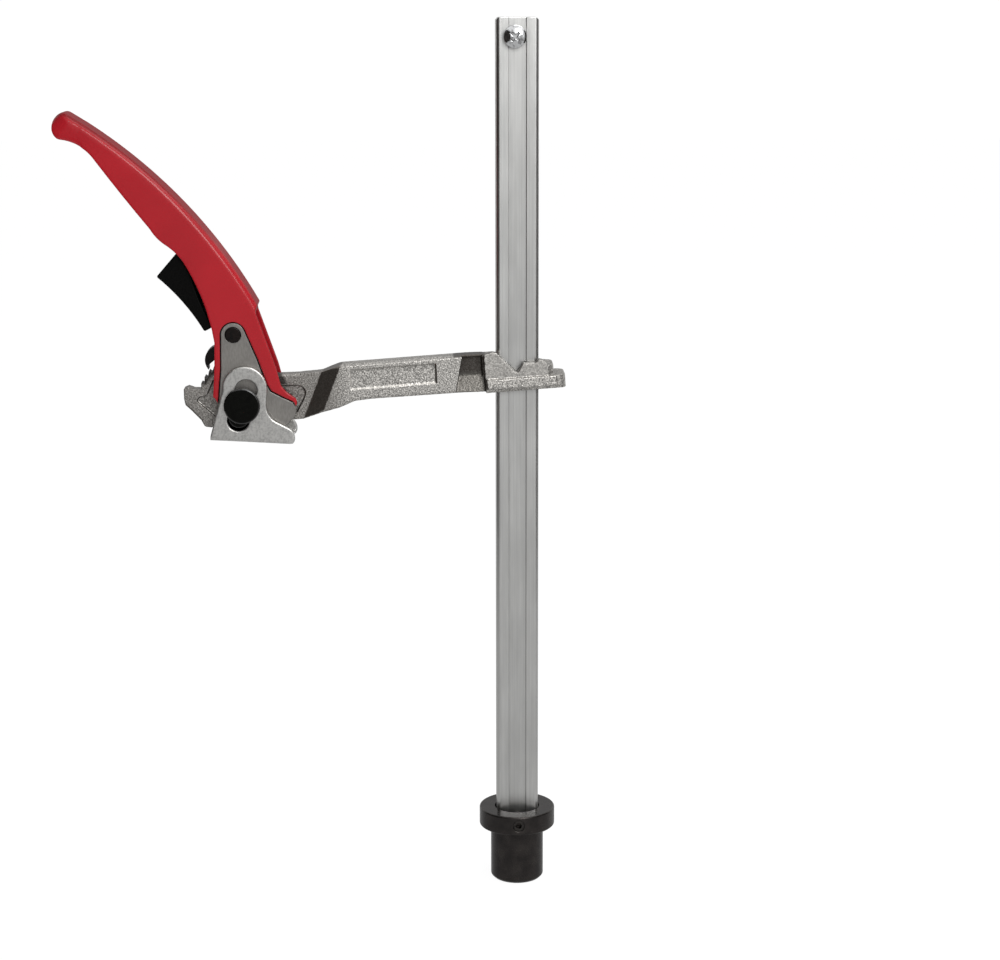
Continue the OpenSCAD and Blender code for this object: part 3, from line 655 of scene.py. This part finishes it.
def machined(node, name, material, width, segments=3, over=SHARP):
    """A copy of a CAD node whose sharp edges are broken by a rounding of this width."""
    shape = welded(node)
    round_edges(shape, [edge for edge in shape.edges if is_sharp(edge, over)], width, segments)
    piece = placed(node, name, finish_mesh(shape, name), material)
    # big flat faces keep their own normals, so that small roundings stay small
    normals = piece.modifiers.new("Weighted normals", "WEIGHTED_NORMAL")
    normals.keep_sharp = True
    normals.weight = 90
    return piece


def evaluated_mesh(piece):
    """The mesh of an object with its modifiers or its curve applied."""
    graph = bpy.context.evaluated_depsgraph_get()
    return bpy.data.meshes.new_from_object(piece.evaluated_get(graph))


def apply_modifiers(piece):
    """Replaces a piece's mesh by the one that its modifiers give."""
    mesh = evaluated_mesh(piece)
    piece.modifiers.clear()
    piece.data = mesh


def smoothing(piece, rounds, group=None):
    """Adds rounds of smoothing, to all of a piece or to one of its vertex groups."""
    made = piece.modifiers.new("Smooth", "SMOOTH")
    made.factor = 0.5
    made.iterations = rounds
    if group:
        made.vertex_group = group.name


def softened(
    node, name, material, voxel, rounds, height=0.0, softer=None, bends=None, bend=0.0
):
    """A copy of a CAD node with soft edges all round and a grain of this height.

    softer is a test of places and the rounds that are added there. Sharp edges whose middle passes
    the test bends are bent to the radius bend.
    """
    shape = welded(node)
    if bends:
        bent = [
            edge for edge in shape.edges
            if is_sharp(edge, SHARP) and bends((edge.verts[0].co + edge.verts[1].co) / 2)
        ]
        round_edges(shape, bent, bend, segments=6)
    piece = placed(node, name, finish_mesh(shape, name), material)
    remesh = piece.modifiers.new("Remesh", "REMESH")
    remesh.mode = "VOXEL"
    remesh.voxel_size = voxel
    apply_modifiers(piece)
    if softer:
        test, added = softer
        group = piece.vertex_groups.new(name="softer")
        group.add(np.nonzero(test(points_of(piece.data)))[0].tolist(), 1.0, "REPLACE")
        smoothing(piece, added, group)
    smoothing(piece, rounds)
    apply_modifiers(piece)
    piece.vertex_groups.clear()
    if height:
        roughen(piece.data, height)
    piece.data.shade_smooth()
    return piece


def points_of(mesh):
    """The places of a mesh's points, one row each."""
    places = np.empty(len(mesh.vertices) * 3, np.float32)
    mesh.vertices.foreach_get("co", places)
    return places.reshape(-1, 3)


def roughen(mesh, height):
    """Lifts and sinks the points of a mesh by a fine and a coarse noise."""
    fine, coarse = per_mm(1.1), per_mm(6)
    coarse_share = 0.3
    places = points_of(mesh)
    normals = np.empty(len(mesh.vertices) * 3, np.float32)
    mesh.vertex_normals.foreach_get("vector", normals)
    normals = normals.reshape(-1, 3)
    lift = [
        noise.noise(Vector(p) * fine) + coarse_share * noise.noise(Vector(p) * coarse)
        for p in places.tolist()
    ]
    # the drafted flanks, which look to the left, keep a tenth of the grain
    flank, fade, least = -0.3, 0.14, 0.1
    grainy = np.clip((normals[:, 0] - flank) / fade, least, 1)
    places += normals * (np.array(lift, np.float32) * height * grainy)[:, None]
    mesh.vertices.foreach_set("co", places.ravel())
    mesh.update()


def wound(foot, along, radius, height, wire, turns=6.5, steps=40):
    """Points along a spring's wire. Its first and last turn lie closed against their neighbours."""
    side = np.array([0.0, 1.0, 0.0])
    up = np.cross(along, side)
    closed = 0.06
    points = []
    for i in range(int(turns * steps) + 1):
        t = i / steps
        opened = max(0, min(t - 1, turns - 2)) / (turns - 2)
        rise = closed * (min(t, 1) + max(0, t - turns + 1)) + (1 - 2 * closed) * opened
        outward = math.cos(math.tau * t) * side + math.sin(math.tau * t) * up
        points.append(foot + along * (wire + rise * height) + radius * outward)
    return points


# ---------- pieces ----------


class CLAMP_OT_mast(bpy.types.Operator):
    """Drawn bar, blackened stud and grub screw"""

    bl_idname = "clamp.mast"
    bl_label = "Bar and stud"

    def execute(self, context):
        s, c = context.scene.clamp_sizes, context.scene.clamp_colours
        # the groove's shallow edges are broken too
        machined(
            "bar", "drawn_bar", drawn_bar_steel(c.bar), s.turned_edge, segments=2, over=20
        )
        machined("base_stud", "blackened_stud", black_oxide(), s.stud_edge)
        # the grub screw is painted dark for the shade of the hole it sits in, and its painted shade
        # reaches 3 mm
        grub = bright_zinc("grub_screw_zinc_painted_shade", "4A4745", 3)
        machined("base_set_screw", "grub_screw", grub, s.screw_edge, segments=2)
        return {"FINISHED"}


class CLAMP_OT_stop(bpy.types.Operator):
    """Stop screw and its spring washer"""

    bl_idname = "clamp.stop"
    bl_label = "Stop screw"

    def execute(self, context):
        s, zinc = context.scene.clamp_sizes, bright_zinc()
        machined("stop_screw", "stop_screw_head", zinc, s.head_edge, segments=2)
        machined("stop_washer", "split_washer", zinc, s.screw_edge, segments=2)
        return {"FINISHED"}


class CLAMP_OT_arm(bpy.types.Operator):
    """Forged sliding arm and its axle"""

    bl_idname = "clamp.arm"
    bl_label = "Forged arm"

    def execute(self, context):
        s, c = context.scene.clamp_sizes, context.scene.clamp_colours
        # right of the head, whose teeth stay crisp, the die left rounder edges
        head_edge = HEAD_END - 3 * MM
        softened(
            "sliding_arm", "forged_arm", blasted_forging(c.forging),
            s.forging_voxel, rounds=2, height=s.forging_grain,
            softer=(lambda at: at[:, 0] > head_edge, 4),
        )
        machined("axle", "axle_pin", black_pin(), s.axle_edge)
        return {"FINISHED"}


class CLAMP_OT_lever(bpy.types.Operator):
    """Pressed lever and its two cam plates"""

    bl_idname = "clamp.lever"
    bl_label = "Lever and cams"

    def execute(self, context):
        s, c = context.scene.clamp_sizes, context.scene.clamp_colours
        # the tip is pressed round
        tip_end = points_of(NODES["lever_handle"].data).min(0)[0] + 15 * MM
        softened(
            "lever_handle", "pressed_lever", red_powder_coat(c.powder),
            s.pressed_voxel, rounds=3, softer=(lambda at: at[:, 0] < tip_end, 50),
        )
        plate = tumbled_plate(c.plate)
        for side in ("front", "rear"):
            machined(f"cam_plate_{side}", f"cam_{side}", plate, s.blanked_edge)
        machined("rocker_pin", "rocker_pin_head", black_pin(), s.rocker_edge)
        zinc = bright_zinc()
        machined("pawl_spacers", "spacer_rings", zinc, s.screw_edge, segments=2)
        return {"FINISHED"}


class CLAMP_OT_release(bpy.types.Operator):
    """Pawl, paddle, pins and spring"""

    bl_idname = "clamp.release"
    bl_label = "Release"

    def execute(self, context):
        s = context.scene.clamp_sizes
        nylon, pin = moulded_nylon(), black_pin()
        machined("pawl", "ratchet_pawl", pin, s.blanked_edge)
        machined(
            "release_paddle", "thumb_paddle", nylon, s.moulded_edge, segments=4
        )
        machined("paddle_pins", "paddle_rivets", pin, s.rivet_edge, segments=2)
        self.coil(s)
        zinc = bright_zinc()
        machined("spring_seat", "spring_peg", zinc, s.screw_edge, segments=2)
        return {"FINISHED"}

    def coil(self, s):
        """A wound spring on the line of the CAD node's own tube, from the paddle to the web."""
        places = points_of(NODES["pawl_spring"].data).astype(float)
        along = np.array([math.cos(s.spring_slant), 0, math.sin(s.spring_slant)])
        reach = places @ along
        middle = (places.min(0) + places.max(0)) / 2
        foot = middle + along * (reach.min() - middle @ along)
        wire = s.wire / 2
        radius = np.abs(places[:, 1]).max() - wire
        height = reach.max() - reach.min() - 2 * wire
        points = wound(foot, along, radius, height, wire)
        curve = bpy.data.curves.new("release_spring", "CURVE")
        curve.dimensions = "3D"
        curve.bevel_depth = wire
        curve.bevel_resolution = 4
        curve.use_fill_caps = True
        line = curve.splines.new("POLY")
        line.points.add(len(points) - 1)
        for point, at in zip(line.points, points):
            point.co = (*at, 1)
        drawn = in_scene("release_spring", curve)
        mesh = evaluated_mesh(drawn)
        bpy.data.objects.remove(drawn)
        mesh.shade_smooth()
        mesh.materials.clear()
        spring = placed("pawl_spring", "release_spring", mesh, spring_wire())
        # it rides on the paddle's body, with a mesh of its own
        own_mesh(spring)


class CLAMP_OT_shoe(bpy.types.Operator):
    """Bent shoe and its two glossy caps"""

    bl_idname = "clamp.shoe"
    bl_label = "Shoe and caps"

    def execute(self, context):
        s, c = context.scene.clamp_sizes, context.scene.clamp_colours
        places = points_of(NODES["shoe"].data)
        low, high = places.min(0), places.max(0)
        half_length, sole_height, on_cheek = 8 * MM, 4 * MM, 0.05 * MM

        def sole_bend(middle):
            """The two long outer edges where the cheeks are bent up from the sole."""
            outside = abs(abs(middle.y) - high[1]) < on_cheek
            half_way = abs(middle.x - (low[0] + high[0]) / 2) < half_length
            return outside and half_way and middle.z < low[2] + sole_height

        softened(
            "shoe", "bent_shoe", plated_sheet(c.shoe), s.shoe_voxel, rounds=5,
            bends=sole_bend, bend=s.shoe_bend,
        )
        cap = gloss_cap()
        for side in ("front", "rear"):
            machined(f"guide_cap_{side}", f"cap_{side}", cap, s.cap_edge)
        return {"FINISHED"}


# ---------- stage ----------


class CLAMP_OT_stage(bpy.types.Operator):
    """White studio, softboxes and the camera"""

    bl_idname = "clamp.stage"
    bl_label = "Studio"

    def execute(self, context):
        studio = context.scene.clamp_studio
        self.backdrop(context.scene, studio)
        self.floor(studio)
        self.lamps(studio)
        self.cards()
        self.camera(context.scene)
        context.scene.view_settings.view_transform = "Standard"
        return {"FINISHED"}

    def backdrop(self, scene, studio):
        """A white world for the camera, which is darker in gloss and even on the clamp."""
        world = bpy.data.worlds.new("white_studio")
        tree = emptied(world)
        path = add(tree, "ShaderNodeLightPath").outputs
        direction = add(tree, "ShaderNodeTexCoord").outputs["Generated"]
        depth = add(tree, "ShaderNodeSeparateXYZ", {"Vector": direction}).outputs["Y"]
        # polished metal sees the white wall behind the set and the dim room in front of it
        room = add(
            tree, "ShaderNodeMapRange",
            {"Value": depth, "From Min": -0.25, "From Max": 0.45, "To Min": studio.room, "To Max": 1.0},
        )
        # edges that turn away mirror the unlit gap right behind the set
        behind = add(
            tree, "ShaderNodeMapRange",
            {"Value": depth, "From Min": 0.84, "From Max": 0.97, "To Min": 1.0, "To Max": studio.gap},
        )
        lit = add(
            tree, "ShaderNodeMix",
            {
                "Factor": path["Is Glossy Ray"], "A": studio.fill,
                "B": joined(tree, "MULTIPLY", room, behind),
            },
        )
        straight = joined(tree, "MAXIMUM", path["Is Camera Ray"], path["Is Transmission Ray"])
        strength = add(tree, "ShaderNodeMix", {"Factor": straight, "A": lit, "B": 1.03})
        light = add(
            tree, "ShaderNodeBackground", {"Color": srgb("FFFFFF"), "Strength": strength}
        )
        add(tree, "ShaderNodeOutputWorld", {"Surface": light})
        scene.world = world

    def floor(self, studio):
        """White paper that glows for rays that show it, and still takes a soft shadow."""
        shape = bmesh.new()
        bmesh.ops.create_grid(shape, x_segments=1, y_segments=1, size=6)
        mesh = bpy.data.meshes.new("studio_floor")
        shape.to_mesh(mesh)
        shape.free()
        made = bpy.data.materials.new("white_sweep_paper")
        tree = emptied(made)
        paper = add(tree, "ShaderNodeBsdfDiffuse", {"Color": srgb("F4F4F4")})
        path = add(tree, "ShaderNodeLightPath").outputs
        strength = add(
            tree, "ShaderNodeMix", {"Factor": path["Is Glossy Ray"], "A": 1.04, "B": studio.floor_gloss}
        )
        glow = add(tree, "ShaderNodeEmission", {"Color": srgb("FFFFFF"), "Strength": strength})
        shown = joined(
            tree, "MAXIMUM", path["Is Camera Ray"], path["Is Glossy Ray"], path["Is Transmission Ray"]
        )
        share = joined(tree, "MULTIPLY", shown, 0.92)
        mixed = add(tree, "ShaderNodeMixShader", {0: share, 1: paper, 2: glow})
        add(tree, "ShaderNodeOutputMaterial", {"Surface": mixed})
        mesh.materials.append(made)
        floor = in_scene("studio_floor", mesh)
        floor.location.z = -studio.floor_drop

    def lamps(self, studio):
        """Three square softboxes that look at the middle of the clamp."""
        middle = Vector((-0.06, 0, 0.22))
        for name, place, size, share in (
            ("front_softbox", (0.45, -1.35, 0.95), 0.7, 1.0),
            ("overhead_softbox", (0.35, -0.1, 1.4), 0.9, 0.8),
            ("right_softbox", (1.2, -0.35, 0.6), 0.7, 0.5),
        ):
            data = bpy.data.lights.new(name, "AREA")
            data.shape = "SQUARE"
            data.size = size
            data.energy = studio.key * share
            lamp = in_scene(name, data)
            lamp.location = place
            lamp.rotation_euler = (middle - Vector(place)).to_track_quat("-Z", "Y").to_euler()

    def cards(self):
        """Dark cards beside the set, seen only in gloss, which draw dark lines along round edges."""
        dark = bpy.data.materials.new("black_card")
        tree = emptied(dark)
        paper = add(tree, "ShaderNodeBsdfDiffuse", {"Color": srgb("2A2725")})
        add(tree, "ShaderNodeOutputMaterial", {"Surface": paper})
        foot = -0.1
        for name, near, far, top in (
            ("left_card", (-0.42, -1.5), (-0.8, 0.35), 0.9),
            ("right_card", (0.62, -0.62), (0.72, 0.25), 0.8),
        ):
            corners = [(*near, foot), (*far, foot), (*far, top), (*near, top)]
            mesh = bpy.data.meshes.new(name)
            mesh.from_pydata(corners, [], [(0, 1, 2, 3)])
            mesh.materials.append(dark)
            card = in_scene(name, mesh)
            for ray in ("camera", "diffuse", "shadow", "transmission"):
                setattr(card, f"visible_{ray}", False)

    def camera(self, scene):
        """A long lens from the front, tilted down and turned a little to the right."""
        tilt, turn = math.radians(10.3758), math.radians(2.8416)
        data = bpy.data.cameras.new("product_camera")
        data.sensor_width = 36
        data.lens = 81.06
        data.shift_x = -0.0165
        data.shift_y = -0.08
        data.clip_start = 0.05
        data.clip_end = 30
        camera = in_scene("product_camera", data)
        camera.location = (-0.05725, -1.14857, 0.44145)
        camera.rotation_euler = (math.pi / 2 - tilt, 0, -turn)
        scene.camera = camera


class CLAMP_PT_panel(bpy.types.Panel):
    """The clamp's pieces and settings"""

    bl_label = "Bar clamp"
    bl_space_type = "VIEW_3D"
    bl_region_type = "UI"
    bl_category = "Bar clamp"

    def draw(self, context):
        for group in GROUPS:
            settings = getattr(context.scene, group)
            box = self.layout.box()
            for name in settings.__annotations__:
                box.prop(settings, name)
        for step in STEPS:
            self.layout.operator(step.bl_idname)


STEPS = (
    CLAMP_OT_mast, CLAMP_OT_stop, CLAMP_OT_arm, CLAMP_OT_lever, CLAMP_OT_release, CLAMP_OT_shoe,
    CLAMP_OT_stage,
)
GROUPS = {"clamp_sizes": ClampSizes, "clamp_colours": ClampColours, "clamp_studio": Studio}


def register():
    """Adds the settings, the operators and the panel."""
    for group in GROUPS.values():
        bpy.utils.register_class(group)
    for name, group in GROUPS.items():
        setattr(bpy.types.Scene, name, PointerProperty(type=group))
    for part in (*STEPS, CLAMP_PT_panel):
        bpy.utils.register_class(part)


def unregister():
    """Takes them away again."""
    for part in (CLAMP_PT_panel, *reversed(STEPS)):
        bpy.utils.unregister_class(part)
    for name in GROUPS:
        delattr(bpy.types.Scene, name)
    for group in GROUPS.values():
        bpy.utils.unregister_class(group)


def main():
    """Builds the clamp and its studio."""
    register()
    for step in STEPS:
        family, action = step.bl_idname.split(".")
        getattr(getattr(bpy.ops, family), action)()


if __name__ == "__main__":
    main()
